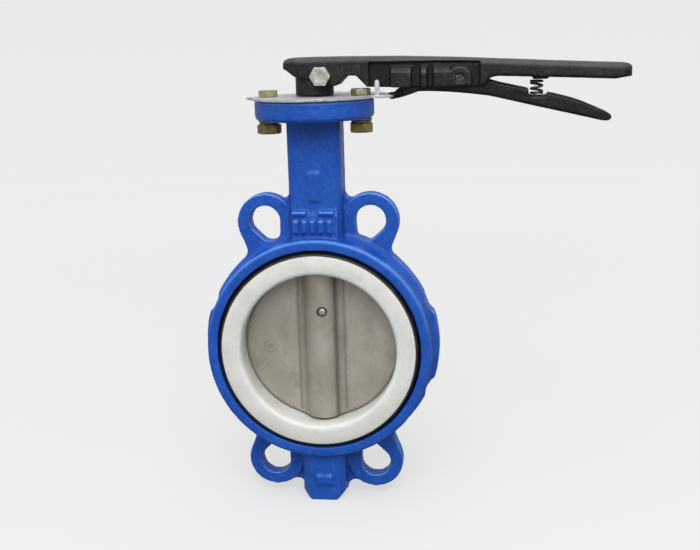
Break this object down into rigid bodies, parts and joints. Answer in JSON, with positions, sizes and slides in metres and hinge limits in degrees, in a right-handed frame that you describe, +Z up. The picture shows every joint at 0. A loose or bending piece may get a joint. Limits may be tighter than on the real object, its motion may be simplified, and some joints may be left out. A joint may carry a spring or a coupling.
{
  "type": "wafer butterfly valve",
  "caption": "Wafer butterfly valve with a lined round bore, a pivoting disc on a stem, slotted bolt ears, a top flange with a notched plate, and a latching hand lever with a squeeze trigger.",
  "frame": {"origin": "where the stem's axis crosses the pipe's axis, at the middle of the bore and of the face-to-face width", "axes": "+Z up the stem towards the lever, +Y along the pipe away from the side with the stop tab, +X along the lever when the valve is shut"},
  "size_m": [0.3221, 0.1064, 0.346],
  "materials": {
    "blue_paint": "satin blue enamel over rough cast iron",
    "black_rubber": "matt moulded rubber",
    "white_liner": "waxy white fluoropolymer",
    "bronze": "turned bronze",
    "nylon": "plain moulded plastic",
    "stem_steel": "turned stainless steel",
    "stainless_disc": "satin blasted stainless casting",
    "plate_steel": "zinc plated sheet",
    "zinc_plate": "pale yellow zinc plate",
    "yellow_zinc": "dull yellow passivated zinc",
    "bright_zinc": "bright zinc plate",
    "black_enamel": "satin black coat over rough casting",
    "spring_steel": "oiled spring steel"
  },
  "bodies": {
    "valve_body": {"body_casting": "blue_paint", "seat_backing": "black_rubber", "seat_liner": "white_liner", "lower_bushing": "bronze", "middle_bushing": "bronze", "upper_bushing": "nylon", "thrust_disc": "nylon", "stem_seal_1": "black_rubber", "stem_seal_2": "black_rubber", "stem_seal_3": "black_rubber", "notch_plate": "plate_steel", "flange_bolt_left": "zinc_plate", "flange_bolt_right": "zinc_plate", "flange_washer_left": "yellow_zinc", "flange_washer_right": "yellow_zinc", "spring_washer_left": "yellow_zinc", "spring_washer_right": "yellow_zinc", "flange_nut_left": "yellow_zinc", "flange_nut_right": "yellow_zinc"},
    "stem_and_lever": {"stem": "stem_steel", "stem_retaining_ring": "spring_steel", "disc": "stainless_disc", "taper_pin": "stem_steel", "lever": "black_enamel", "clamp_bolt": "bright_zinc", "clamp_nut": "bright_zinc", "trigger_pivot_pin": "spring_steel", "trigger_spring": "spring_steel"},
    "trigger_arm": {"trigger": "black_enamel"}
  },
  "joints": [
    {"name": "stem_turn", "type": "hinge", "parent": "valve_body", "child": "stem_and_lever", "pos_m": [0, 0, 0], "axis": [0, 0, 1], "range_deg": [0, 90]},
    {"name": "trigger_squeeze", "type": "hinge", "parent": "stem_and_lever", "child": "trigger_arm", "pos_m": [0.1082, 0, 0.2028], "axis": [0, -1, 0], "range_deg": [0, 6.5], "stiffness_Nm_per_rad": 2, "springref_deg": -11.46, "deforming": ["trigger_spring"]}
  ]
}
